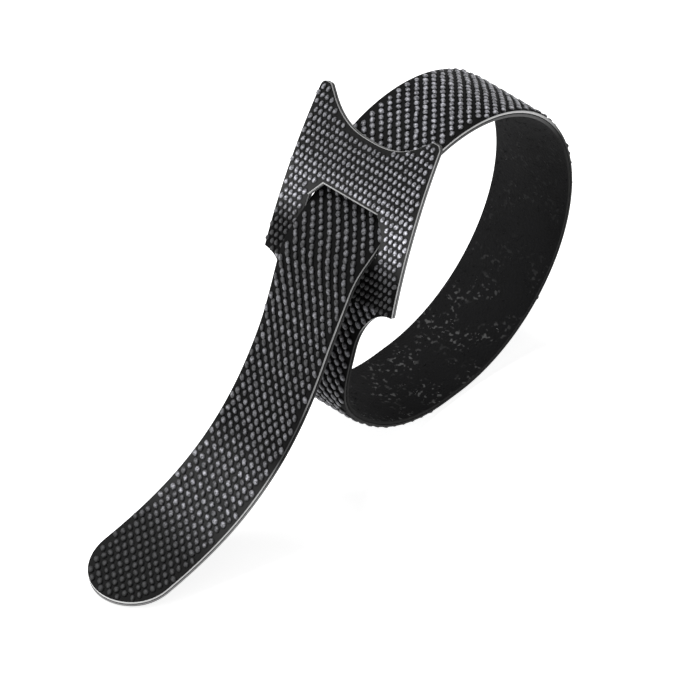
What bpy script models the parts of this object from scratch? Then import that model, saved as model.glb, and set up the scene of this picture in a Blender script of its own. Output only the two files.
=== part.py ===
"""Hook and loop cable tie, closed into a loop with its tail through the slot.

The tie is one piece of laminated tape. It is modelled the way it is made: a flat ribbed web is cut to
its outline and slotted, and the flat tie is then bent along its route. Units are metres, +Z is up and
the tie stands on the flat spot under its loop and on the tip of its tail.

Flat tie: x runs across the tape, y along it from the horn tips, z through it towards the hook face.
Route: a side view of the bent tie in the YZ plane. Headings turn from +Y towards +Z.
"""

import math

import bmesh
import bpy
from mathutils import Vector

MM = 0.001

# Tape
STRAP_WIDTH = 12.0 * MM
BASE_THICKNESS = 0.9 * MM
RIB_HEIGHT = 0.25 * MM
RIB_TOP = 0.5 * MM
RIB_SLOPE = 0.15 * MM
RIB_GAP = 0.4 * MM

# Slot, and the webs of tape around it
SLOT_CLEARANCE = 0.3 * MM
SLOT_CORNER_WIDTH = 1.85 * MM
SLOT_CORNER_LENGTH = 1.6 * MM
SIDE_WEB = 4.2 * MM
UPPER_WEB = 7.9 * MM
LOWER_WEB = 5.6 * MM

# Forked end and shoulders
HEAD_TAPER = 0.8 * MM
NOTCH_DEPTH = 3.9 * MM
NOTCH_RISE = 2.9 * MM
NOTCH_POWER = 2.6
HORN_BASE = 2.3 * MM
HORN_ROUND = 0.9 * MM
SHOULDER_LENGTH = 6.6 * MM

# Loop and head in the side view
LOOP_RADIUS = 20.9 * MM
REST_FLAT = 2.4 * MM
SLOT_BEARING = math.radians(137.4)
HEAD_INSET = 2.3 * MM
HEAD_HEADING = math.radians(247.5)
HEAD_ARCH_RADIUS = 78.0 * MM
CROSSING_ANGLE = math.radians(35.0)
LOOP_START_HEADING = math.radians(-42.0)
LOOP_END_HEADING = math.radians(194.0)
NECK_HANDLES = (0.60, 0.50)
CATCH_HANDLES = (0.40, 0.30)

# Tail
TAIL_LENGTH = 56.6 * MM
TAIL_LEAD_OUT = 3.4 * MM
TAIL_DROOP_RADIUS = 7.5 * MM
TAIL_DROOP = math.radians(28.0)
TAIL_LANDING = 44.5 * MM
LANDING_HEADING = math.radians(189.0)
TAIL_HANDLES = (0.335, 0.42)
TAIL_SWAY = 1.5 * MM
TAIL_DRIFT = 1.7 * MM
TAIL_ROLL = math.radians(9.5)
TAIL_ROLL_PEAK = 0.25

# Fineness of the bent mesh
STATION_STEP = 2.2 * MM
ROUTE_STEP = 0.2 * MM
ROUND_STEPS = 8
CORNER_STEPS = 4

# Sizes that follow from those above
THICKNESS = BASE_THICKNESS + RIB_HEIGHT
RIB_PITCH = RIB_TOP + 2.0 * RIB_SLOPE + RIB_GAP
SLOT_WIDTH = STRAP_WIDTH + 2.0 * SLOT_CLEARANCE
HEAD_WIDTH = SLOT_WIDTH + 2.0 * SIDE_WEB
HORN_END_WIDTH = HEAD_WIDTH - 2.0 * HEAD_TAPER

TAPE_COLOUR = (0.035, 0.035, 0.038, 1.0)
TAPE_ROUGHNESS = 0.62


def clear_scene():
    """Remove every object that the file opened with."""
    for item in list(bpy.data.objects):
        bpy.data.objects.remove(item, do_unlink=True)


def slot_corner_reach():
    """How far the slot's cut corner reaches down at the strap's edge."""
    return SLOT_CORNER_LENGTH * max(0.0, 1.0 - SLOT_CLEARANCE / SLOT_CORNER_WIDTH)


def crossing_half_length():
    """Half the length of slot that the slanting strap needs, with its clearance."""
    across = (THICKNESS / 2.0 + SLOT_CLEARANCE) / math.sin(CROSSING_ANGLE)
    through = (THICKNESS / 2.0) / math.tan(CROSSING_ANGLE)
    return across + through


# Places along the flat tie, measured from the horn tips
SLOT_START = NOTCH_DEPTH + UPPER_WEB
SLOT_CENTRE = SLOT_START + slot_corner_reach() + crossing_half_length()
SLOT_END = SLOT_CENTRE + crossing_half_length()
SHOULDER_START = SLOT_END + LOWER_WEB
SHOULDER_END = SHOULDER_START + SHOULDER_LENGTH


def side(heading):
    """Unit vector of a heading in the side view."""
    return Vector((0.0, math.cos(heading), math.sin(heading)))


def arc_points(start, heading, radius, turn):
    """Points of an arc that turns left by an angle, without its first point."""
    count = max(2, math.ceil(radius * abs(turn) / ROUTE_STEP))
    points = []
    for index in range(1, count + 1):
        now = heading + turn * index / count
        reach = Vector((0.0, math.sin(now) - math.sin(heading), math.cos(heading) - math.cos(now)))
        points.append(start + radius * reach)
    return points


def line_points(start, heading, length):
    """Points of a straight stretch, without its first point."""
    count = max(1, math.ceil(length / ROUTE_STEP))
    return [start + side(heading) * length * index / count for index in range(1, count + 1)]


def bend_points(start, start_heading, end, end_heading, lead, tail):
    """Points of a smooth bend between two headings, without its first point.

    lead and tail say how long each end keeps its heading, as shares of the distance.
    """
    reach = (end - start).length
    first = start + side(start_heading) * reach * lead
    second = end - side(end_heading) * reach * tail
    count = max(2, math.ceil(1.3 * reach / ROUTE_STEP))
    points = []
    for index in range(1, count + 1):
        t = index / count
        u = 1.0 - t
        points.append(start * u ** 3 + first * 3 * u * u * t + second * 3 * u * t * t + end * t ** 3)
    return points


class Route:
    """The line that the middle of the tape follows, with distances along it."""

    def __init__(self):
        loop_centre = Vector((0.0, 0.0, LOOP_RADIUS + THICKNESS / 2.0))
        slot = loop_centre + side(SLOT_BEARING) * (LOOP_RADIUS - HEAD_INSET)
        entry = HEAD_HEADING - CROSSING_ANGLE
        self.points = []
        self._add_head(slot)
        shoulder_heading = HEAD_HEADING + (SHOULDER_START - SLOT_CENTRE) / HEAD_ARCH_RADIUS
        front = loop_centre + side(LOOP_START_HEADING - math.pi / 2.0) * LOOP_RADIUS
        front.y -= REST_FLAT / 2.0
        self._join(bend_points(self.points[-1], shoulder_heading, front, LOOP_START_HEADING, *NECK_HANDLES))
        self._join(arc_points(self.points[-1], LOOP_START_HEADING, LOOP_RADIUS, -LOOP_START_HEADING))
        self.flat_start = self._length()
        self._join(line_points(self.points[-1], 0.0, REST_FLAT))
        self._join(arc_points(self.points[-1], 0.0, LOOP_RADIUS, LOOP_END_HEADING))
        inside = slot - side(entry) * crossing_half_length()
        self._join(bend_points(self.points[-1], LOOP_END_HEADING, inside, entry, *CATCH_HANDLES))
        self._join(line_points(inside, entry, crossing_half_length()))
        self.passing = self._length()
        self._add_tail(slot, entry)
        self.total = self.passing + TAIL_LENGTH
        self._measure()

    def _add_head(self, slot):
        """Lay the head as a shallow arch through the slot's centre, horn tips first."""
        start = HEAD_HEADING - SLOT_CENTRE / HEAD_ARCH_RADIUS
        to_slot = Vector((0.0, math.sin(HEAD_HEADING) - math.sin(start),
                          math.cos(start) - math.cos(HEAD_HEADING)))
        horn_end = slot - HEAD_ARCH_RADIUS * to_slot
        self.points.append(horn_end)
        self._join(arc_points(horn_end, start, HEAD_ARCH_RADIUS, SHOULDER_START / HEAD_ARCH_RADIUS))

    def _add_tail(self, slot, heading):
        """Lead the tail out of the slot, let it droop and lay it on the table, swaying sideways."""
        tail = line_points(slot, heading, TAIL_LEAD_OUT)
        tail += arc_points(tail[-1], heading, TAIL_DROOP_RADIUS, TAIL_DROOP)
        landing = Vector((0.0, slot.y - TAIL_LANDING, THICKNESS / 2.0))
        tail += bend_points(tail[-1], heading + TAIL_DROOP, landing, LANDING_HEADING, *TAIL_HANDLES)
        tail += line_points(landing, math.pi, TAIL_LENGTH)
        past_slot = 0.0
        before = slot
        swayed = []
        for point in tail:
            past_slot += (point - before).length
            before = point
            swayed.append(point + Vector((tail_sway(past_slot), 0.0, 0.0)))
        self._join(swayed)

    def _join(self, more):
        """Add a stretch that starts where the route ends."""
        self.points.extend(more)

    def _length(self):
        """Length of the route so far."""
        return sum((b - a).length for a, b in zip(self.points, self.points[1:]))

    def _measure(self):
        """Note the distance of every point from the horn tips."""
        self.reach = [0.0]
        for before, after in zip(self.points, self.points[1:]):
            self.reach.append(self.reach[-1] + (after - before).length)

    def _between(self, distance):
        """Point and unit direction at a distance along the route."""
        low = 0
        high = len(self.reach) - 2
        while low < high:
            middle = (low + high + 1) // 2
            if self.reach[middle] <= distance:
                low = middle
            else:
                high = middle - 1
        step = self.points[low + 1] - self.points[low]
        share = (distance - self.reach[low]) / (self.reach[low + 1] - self.reach[low])
        return self.points[low] + step * share, step.normalized()

    def frame(self, distance):
        """Middle of the tape, its direction across and its outward normal at a distance."""
        centre, along = self._between(distance)
        ahead = self._between(distance + ROUTE_STEP)[1]
        behind = self._between(max(0.0, distance - ROUTE_STEP))[1]
        along = (ahead + behind + along).normalized()
        level = (Vector((1.0, 0.0, 0.0)) - along * along.x).normalized()
        outward = along.cross(level)
        roll = tail_roll(distance - self.passing - crossing_half_length())
        across = -level * math.cos(roll) - outward * math.sin(roll)
        outward = outward * math.cos(roll) - level * math.sin(roll)
        return centre, across, outward


def smooth_step(share):
    """Ease from 0 to 1."""
    share = min(1.0, max(0.0, share))
    return share * share * (3.0 - 2.0 * share)


def tail_roll(past_slot):
    """Roll of the tail about its own length, up to its most and back to level at the tip."""
    share = past_slot / TAIL_LENGTH
    rise = smooth_step(share / TAIL_ROLL_PEAK)
    fall = smooth_step((share - TAIL_ROLL_PEAK) / (1.0 - TAIL_ROLL_PEAK))
    return TAIL_ROLL * (rise - fall)


def tail_sway(past_slot):
    """Sideways place of the tail: out to one side half way and over to the other at its tip."""
    share = max(0.0, (past_slot - TAIL_LEAD_OUT) / (TAIL_LENGTH - TAIL_LEAD_OUT))
    return TAIL_SWAY * 16.0 * (share * (1.0 - share)) ** 2 - TAIL_DRIFT * share ** 3


def stations(route):
    """Places along the tie where it can bend, with none inside the flat spot."""
    flat_end = route.flat_start + REST_FLAT
    before = math.ceil(route.flat_start / STATION_STEP)
    after = math.ceil((route.total - flat_end) / STATION_STEP)
    places = [route.flat_start * index / before for index in range(before + 1)]
    return places + [flat_end + (route.total - flat_end) * index / after for index in range(after + 1)]


def rib_section():
    """Section of the ribbed web from left to right along its hook face."""
    ribs_each_side = math.ceil(HEAD_WIDTH / 2.0 / RIB_PITCH) + 1
    points = []
    for index in range(-ribs_each_side, ribs_each_side):
        centre = (index + 0.5) * RIB_PITCH
        points.append((centre - RIB_TOP / 2.0 - RIB_SLOPE, BASE_THICKNESS - THICKNESS / 2.0))
        points.append((centre - RIB_TOP / 2.0, THICKNESS / 2.0))
        points.append((centre + RIB_TOP / 2.0, THICKNESS / 2.0))
        points.append((centre + RIB_TOP / 2.0 + RIB_SLOPE, BASE_THICKNESS - THICKNESS / 2.0))
    return points


def make_web(places):
    """Flat ribbed web, longer and wider than the tie, with an edge across it at each station."""
    top = rib_section()
    section = [(top[-1][0], -THICKNESS / 2.0), (top[0][0], -THICKNESS / 2.0)] + top
    spare = STATION_STEP
    runs = [places[0] - spare] + places[1:-1] + [places[-1] + spare]
    bm = bmesh.new()
    rings = [[bm.verts.new((x, y, z)) for x, z in section] for y in runs]
    for near, far in zip(rings, rings[1:]):
        for index in range(len(section)):
            after = (index + 1) % len(section)
            bm.faces.new((near[index], near[after], far[after], far[index]))
    bm.faces.new(list(reversed(rings[0])))
    bm.faces.new(rings[-1])
    bmesh.ops.recalc_face_normals(bm, faces=bm.faces)
    return mesh_object("web", bm)


def round_corner(corner, before, after, radius):
    """Points of a rounded corner between two straight edges, no wider than the first edge allows."""
    to_before = (before - corner).normalized()
    to_after = (after - corner).normalized()
    half_angle = to_before.angle(to_after) / 2.0
    setback = min(radius / math.tan(half_angle), (before - corner).length)
    radius = setback * math.tan(half_angle)
    centre = corner + (to_before + to_after).normalized() * radius / math.sin(half_angle)
    start = (corner + to_before * setback - centre).normalized()
    end = (corner + to_after * setback - centre).normalized()
    return [centre + start.slerp(end, index / CORNER_STEPS) * radius for index in range(CORNER_STEPS + 1)]


def horn_points():
    """Outline of the right horn, from the middle of the notch round its tip."""
    span = HORN_END_WIDTH / 2.0 - HORN_BASE
    inner = []
    for index in range(ROUND_STEPS):
        share = index / ROUND_STEPS
        inner.append(Vector((span * share, NOTCH_DEPTH - NOTCH_RISE * share ** NOTCH_POWER, 0.0)))
    notch_end = Vector((span, NOTCH_DEPTH - NOTCH_RISE, 0.0))
    slope = NOTCH_RISE * NOTCH_POWER / span
    corner = notch_end + Vector((HORN_BASE, -slope * HORN_BASE, 0.0))
    shoulder = Vector((HEAD_WIDTH / 2.0, SHOULDER_START, 0.0))
    return inner + round_corner(corner, notch_end, shoulder, HORN_ROUND)


def shoulder_points():
    """Outline of the right shoulder: a corner, then a hollow quarter that meets the strap's edge."""
    drop = (HEAD_WIDTH - STRAP_WIDTH) / 2.0
    corner = Vector((HEAD_WIDTH / 2.0, SHOULDER_START, 0.0))
    points = [corner]
    for index in range(1, ROUND_STEPS + 1):
        angle = math.pi / 2.0 * index / ROUND_STEPS
        points.append(Vector((corner.x - drop * math.sin(angle),
                              SHOULDER_START + SHOULDER_LENGTH * (1.0 - math.cos(angle)), 0.0)))
    return points


def tail_end_points(total):
    """Outline of the right half of the round tail end, from the strap's edge to the tip."""
    radius = STRAP_WIDTH / 2.0
    points = []
    for index in range(1, ROUND_STEPS + 1):
        angle = math.pi / 2.0 * index / ROUND_STEPS
        points.append(Vector((radius * math.cos(angle), total - radius + radius * math.sin(angle), 0.0)))
    return points


def outline(places):
    """Closed outline of the flat tie."""
    total = places[-1]
    right = horn_points()
    shoulder = shoulder_points()
    side_start = right[-1]
    slant = (shoulder[0].x - side_start.x) / (shoulder[0].y - side_start.y)
    for place in places:
        if side_start.y + MM < place < SHOULDER_START - MM:
            right.append(Vector((side_start.x + slant * (place - side_start.y), place, 0.0)))
    right += shoulder
    strap_end = total - STRAP_WIDTH / 2.0
    for place in places:
        if SHOULDER_END + MM < place < strap_end - MM:
            right.append(Vector((STRAP_WIDTH / 2.0, place, 0.0)))
    right.append(Vector((STRAP_WIDTH / 2.0, strap_end, 0.0)))
    right += tail_end_points(total)
    left = [Vector((-point.x, point.y, 0.0)) for point in reversed(right[1:-1])]
    return right + left


def slot_outline():
    """Closed outline of the slot: a straight top edge, cut corners, straight sides and a straight end."""
    wide = SLOT_WIDTH / 2.0
    right = [
        Vector((wide - SLOT_CORNER_WIDTH, SLOT_START, 0.0)),
        Vector((wide, SLOT_START + SLOT_CORNER_LENGTH, 0.0)),
        Vector((wide, SLOT_END, 0.0)),
    ]
    left = [Vector((-point.x, point.y, 0.0)) for point in reversed(right)]
    return right + left


def make_cutter(name, points):
    """Upright prism on an outline, taller than the web is thick."""
    bm = bmesh.new()
    base = [bm.verts.new(point - Vector((0.0, 0.0, THICKNESS))) for point in points]
    face = bm.faces.new(base)
    grown = bmesh.ops.extrude_face_region(bm, geom=[face])
    lifted = [item for item in grown["geom"] if isinstance(item, bmesh.types.BMVert)]
    bmesh.ops.translate(bm, verts=lifted, vec=(0.0, 0.0, 2.0 * THICKNESS))
    bmesh.ops.recalc_face_normals(bm, faces=bm.faces)
    cutter = mesh_object(name, bm)
    cutter.hide_render = True
    cutter.display_type = "WIRE"
    return cutter


def mesh_object(name, bm):
    """Turn a bmesh into an object in the scene."""
    mesh = bpy.data.meshes.new(name)
    bm.to_mesh(mesh)
    bm.free()
    item = bpy.data.objects.new(name, mesh)
    bpy.context.collection.objects.link(item)
    return item


def add_cut(target, cutter, operation):
    """Add a Boolean with a cutter."""
    cut = target.modifiers.new(cutter.name, "BOOLEAN")
    cut.operation = operation
    cut.solver = "EXACT"
    cut.object = cutter


def tape_material():
    """Black nylon tape."""
    material = bpy.data.materials.new("black_nylon_tape")
    material.use_nodes = True
    shader = material.node_tree.nodes["Principled BSDF"]
    shader.inputs["Base Color"].default_value = TAPE_COLOUR
    shader.inputs["Roughness"].default_value = TAPE_ROUGHNESS
    shader.inputs["Metallic"].default_value = 0.0
    return material


def bend(flat, route):
    """Bend the flat tie along its route and give it as a new object on the table."""
    bm = bmesh.new()
    bm.from_object(flat, bpy.context.evaluated_depsgraph_get())
    bmesh.ops.triangulate(bm, faces=bm.faces)
    for vert in bm.verts:
        centre, across, outward = route.frame(vert.co.y)
        vert.co = centre + across * vert.co.x + outward * vert.co.z
    low = min(vert.co.y for vert in bm.verts)
    high = max(vert.co.y for vert in bm.verts)
    ground = min(vert.co.z for vert in bm.verts)
    bmesh.ops.translate(bm, verts=bm.verts, vec=(0.0, -(low + high) / 2.0, -ground))
    tie = mesh_object("hook_loop_tie", bm)
    tie.data.shade_smooth()
    tie.data.set_sharp_from_angle(angle=math.radians(30.0))
    return tie


def main():
    """Cut the flat tie and bend it."""
    clear_scene()
    route = Route()
    places = stations(route)
    web = make_web(places)
    cutters = [make_cutter("outline_cutter", outline(places)), make_cutter("slot_cutter", slot_outline())]
    add_cut(web, cutters[0], "INTERSECT")
    add_cut(web, cutters[1], "DIFFERENCE")
    tie = bend(web, route)
    tie.data.materials.append(tape_material())
    for item in [web] + cutters:
        bpy.data.objects.remove(item, do_unlink=True)


main()
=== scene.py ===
"""Looks of a hook and loop cable tie that stands as a closed loop.

The tie is modelled the way it is made. Its webs are cut out flat, the hooks and the pile loops are
set on them, and everything is then bent along the route that the tape follows, whose tail passes
the head's slot. Units are metres and +Z is up.

Flat tie: x runs across the tape, y along it from the horn tips, z through it towards the hook face.
"""

import logging
import math
from contextlib import contextmanager
from dataclasses import dataclass, field
from enum import Enum
from typing import Any, Callable, Iterator, Sequence

import bpy
import numpy as np
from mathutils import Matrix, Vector


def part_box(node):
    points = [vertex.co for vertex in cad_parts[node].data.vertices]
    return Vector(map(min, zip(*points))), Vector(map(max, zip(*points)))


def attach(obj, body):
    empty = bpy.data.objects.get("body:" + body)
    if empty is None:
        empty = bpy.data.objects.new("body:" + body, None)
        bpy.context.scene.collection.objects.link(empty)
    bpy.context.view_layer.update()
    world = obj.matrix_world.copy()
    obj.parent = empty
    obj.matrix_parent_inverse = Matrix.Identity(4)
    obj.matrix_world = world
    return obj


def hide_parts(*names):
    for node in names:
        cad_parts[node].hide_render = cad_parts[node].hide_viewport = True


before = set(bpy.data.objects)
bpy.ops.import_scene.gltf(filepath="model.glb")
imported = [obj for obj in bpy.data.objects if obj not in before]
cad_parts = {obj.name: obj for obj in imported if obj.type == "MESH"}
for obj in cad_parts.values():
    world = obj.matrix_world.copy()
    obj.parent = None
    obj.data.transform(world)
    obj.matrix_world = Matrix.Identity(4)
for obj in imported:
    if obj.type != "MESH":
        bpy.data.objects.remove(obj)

MM = 0.001
FACES_UP = 0.9
NODE = "hook_loop_tie"
BODY = "root"

Stops = tuple[tuple[float, float], ...]

log = logging.getLogger("tie")


def in_mm(*stops: tuple[float, float]) -> Stops:
    """Stops whose distances are written in millimetres."""
    return tuple((place * MM, value) for place, value in stops)


# ---------------------------------------------------------------------------
# Modelling helpers
# ---------------------------------------------------------------------------


def deselect_all() -> None:
    """Leave object mode with nothing selected."""
    if bpy.context.object is not None and bpy.context.object.mode != "OBJECT":
        bpy.ops.object.mode_set(mode="OBJECT")
    bpy.ops.object.select_all(action="DESELECT")


def take(item: bpy.types.Object) -> None:
    """Select one object alone and make it active.

    Args:
        item: The object to select.
    """
    deselect_all()
    item.select_set(True)
    bpy.context.view_layer.objects.active = item


@contextmanager
def editing(item: bpy.types.Object, mode: str = "FACE") -> Iterator[None]:
    """Work on one object in edit mode.

    Args:
        item: The object to edit.
        mode: What is selected while editing: VERT, EDGE or FACE.
    """
    take(item)
    bpy.ops.object.mode_set(mode="EDIT")
    bpy.ops.mesh.select_mode(type=mode)
    yield
    bpy.ops.object.mode_set(mode="OBJECT")


def pick_faces(item: bpy.types.Object, test: Callable[[bpy.types.MeshPolygon], bool]) -> None:
    """Select the faces that pass a test, before edit mode is entered.

    Args:
        item: The object whose faces are picked.
        test: Says whether a face is picked.
    """
    mesh = item.data
    mesh.vertices.foreach_set("select", [False] * len(mesh.vertices))
    mesh.edges.foreach_set("select", [False] * len(mesh.edges))
    mesh.polygons.foreach_set("select", [bool(test(face)) for face in mesh.polygons])


def coordinates(mesh: bpy.types.Mesh) -> np.ndarray:
    """Read where a mesh's vertices are.

    Args:
        mesh: The mesh.

    Returns:
        Their places, one row each.
    """
    flat = np.empty(len(mesh.vertices) * 3)
    mesh.vertices.foreach_get("co", flat)
    return flat.reshape(-1, 3)


def place_vertices(mesh: bpy.types.Mesh, places: np.ndarray) -> None:
    """Move a mesh's vertices to new places, one row each."""
    mesh.vertices.foreach_set("co", places.astype(np.float32).ravel())
    mesh.update()


def note_flat_places(mesh: bpy.types.Mesh) -> None:
    """Keep each vertex's place on the flat tie as a UV map in metres.

    Args:
        mesh: A mesh that is still flat.
    """
    places = coordinates(mesh)[:, :2]
    corners = np.empty(len(mesh.loops), dtype=np.int64)
    mesh.loops.foreach_get("vertex_index", corners)
    layer = mesh.uv_layers.new(name="flat")
    layer.data.foreach_set("uv", places[corners].astype(np.float32).ravel())


def cut_sheet(name: str, outline: np.ndarray, low: float, high: float) -> bpy.types.Object:
    """Cut a slab of even thickness to an outline.

    Args:
        name: Name of the new object.
        outline: Corners of the outline, counter-clockwise, one row each.
        low: Height of the lower face.
        high: Height of the upper face.

    Returns:
        The closed slab.
    """
    deselect_all()
    bpy.ops.mesh.primitive_circle_add(vertices=len(outline), radius=0.01, fill_type="NGON")
    slab = bpy.context.object
    slab.name = name
    slab.data.name = name
    rim = np.column_stack([outline, np.full(len(outline), low)])
    place_vertices(slab.data, rim)
    pick_faces(slab, lambda face: True)
    with editing(slab):
        bpy.ops.mesh.extrude_region_move(TRANSFORM_OT_translate={"value": (0.0, 0.0, high - low)})
        bpy.ops.mesh.select_all(action="SELECT")
        bpy.ops.mesh.normals_make_consistent(inside=False)
    return slab


def cut_away(item: bpy.types.Object, cutter: bpy.types.Object) -> None:
    """Cut one object out of another and remove the cutter.

    Args:
        item: The object that is cut.
        cutter: What is cut out of it.
    """
    cut = item.modifiers.new("cut", "BOOLEAN")
    cut.operation = "DIFFERENCE"
    cut.object = cutter
    take(item)
    bpy.ops.object.modifier_apply(modifier=cut.name)
    bpy.data.objects.remove(cutter, do_unlink=True)


def soften_rims(item: bpy.types.Object, width: float) -> None:
    """Round off the edges between a slab's flat faces and its cut walls.

    Args:
        item: The slab.
        width: Width of the rounding.
    """
    mesh = item.data
    flat_edges = set()
    wall_edges = set()
    for face in mesh.polygons:
        (flat_edges if abs(face.normal.z) > FACES_UP else wall_edges).update(face.edge_keys)
    rims = flat_edges & wall_edges
    pick_faces(item, lambda face: False)
    mesh.edges.foreach_set("select", [edge.key in rims for edge in mesh.edges])
    with editing(item, "EDGE"):
        bpy.ops.mesh.bevel(offset=width, segments=2, profile=0.5, affect="EDGES",
                           clamp_overlap=True)


def slice_across(item: bpy.types.Object, first: float, last: float, step: float) -> None:
    """Cut edges across a slab so that it can bend there.

    Args:
        item: The slab.
        first: Where it starts along the tie.
        last: Where it ends.
        step: The widest space between two cuts.
    """
    count = math.ceil((last - first) / step)
    with editing(item):
        for i in range(1, count):
            place = first + (last - first) * i / count
            bpy.ops.mesh.select_all(action="SELECT")
            bpy.ops.mesh.bisect(plane_co=(0.0, place, 0.0), plane_no=(0.0, 1.0, 0.0))


def smooth(item: bpy.types.Object, degrees: float) -> None:
    """Shade an object smooth, but for edges sharper than an angle."""
    take(item)
    bpy.ops.object.shade_smooth_by_angle(angle=math.radians(degrees))


def keep_value(mesh: bpy.types.Mesh, name: str, values: np.ndarray) -> None:
    """Keep a value for every vertex as an attribute."""
    layer = mesh.attributes.new(name, "FLOAT", "POINT")
    layer.data.foreach_set("value", values.astype(np.float32))


def repeat(name: str, model: bpy.types.Object, places: np.ndarray, turns: np.ndarray,
           sizes: np.ndarray) -> bpy.types.Object:
    """Copy a small model to many places as one object, and remove the model.

    Args:
        name: Name of the new object.
        model: The small model, with its foot at the origin.
        places: Places on the flat tie, one row each.
        turns: Rotation of each copy about z, in radians.
        sizes: Size of each copy along x, y and z, as factors, one row each.

    Returns:
        One object that holds every copy, with its height above its foot kept as an attribute.
    """
    source = model.data
    shape = coordinates(source)
    tall = max(float(np.abs(shape[:, 2]).max()), 1e-9)
    loops = np.empty(len(source.loops), dtype=np.int64)
    source.loops.foreach_get("vertex_index", loops)
    starts = np.empty(len(source.polygons), dtype=np.int64)
    source.polygons.foreach_get("loop_start", starts)
    count = len(places)
    cos = np.cos(turns)[:, None]
    sin = np.sin(turns)[:, None]
    sized = shape[None, :, :] * sizes[:, None, :]
    x = sized[:, :, 0] * cos - sized[:, :, 1] * sin
    y = sized[:, :, 0] * sin + sized[:, :, 1] * cos
    grown = np.stack([x, y, sized[:, :, 2]], axis=2) + places[:, None, :]
    mesh = bpy.data.meshes.new(name)
    mesh.vertices.add(count * len(shape))
    mesh.vertices.foreach_set("co", grown.astype(np.float32).ravel())
    mesh.loops.add(count * len(loops))
    offsets = np.arange(count)[:, None]
    mesh.loops.foreach_set("vertex_index", (loops[None, :] + offsets * len(shape)).ravel())
    mesh.polygons.add(count * len(starts))
    mesh.polygons.foreach_set("loop_start", (starts[None, :] + offsets * len(loops)).ravel())
    mesh.update(calc_edges=True)
    mesh.validate()
    item = bpy.data.objects.new(name, mesh)
    bpy.context.scene.collection.objects.link(item)
    keep_value(mesh, "height", np.tile(np.abs(shape[:, 2]) / tall, count))
    bpy.data.objects.remove(model, do_unlink=True)
    return item


# ---------------------------------------------------------------------------
# Shader helpers
# ---------------------------------------------------------------------------


class Wire:
    """An output socket that can be used in sums."""

    def __init__(self, graph: "Graph", socket: bpy.types.NodeSocket) -> None:
        """Keep the socket and the graph that it belongs to."""
        self.graph = graph
        self.socket = socket

    def _maths(self, operation: str, first: Any, second: Any) -> "Wire":
        """Add one Math node.

        Args:
            operation: The node's operation.
            first: Its first value or wire.
            second: Its second value or wire.

        Returns:
            The node's output.
        """
        made = self.graph.node("ShaderNodeMath", {"operation": operation}, {0: first, 1: second})
        return Wire(self.graph, made.outputs[0])

    def __add__(self, other: Any) -> "Wire":
        """Sum."""
        return self._maths("ADD", self, other)

    __radd__ = __add__

    def __sub__(self, other: Any) -> "Wire":
        """Difference."""
        return self._maths("SUBTRACT", self, other)

    def __rsub__(self, other: Any) -> "Wire":
        """Difference with the wire taken away."""
        return self._maths("SUBTRACT", other, self)

    def __mul__(self, other: Any) -> "Wire":
        """Product."""
        return self._maths("MULTIPLY", self, other)

    __rmul__ = __mul__

    def __pow__(self, other: Any) -> "Wire":
        """Power."""
        return self._maths("POWER", self, other)


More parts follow.
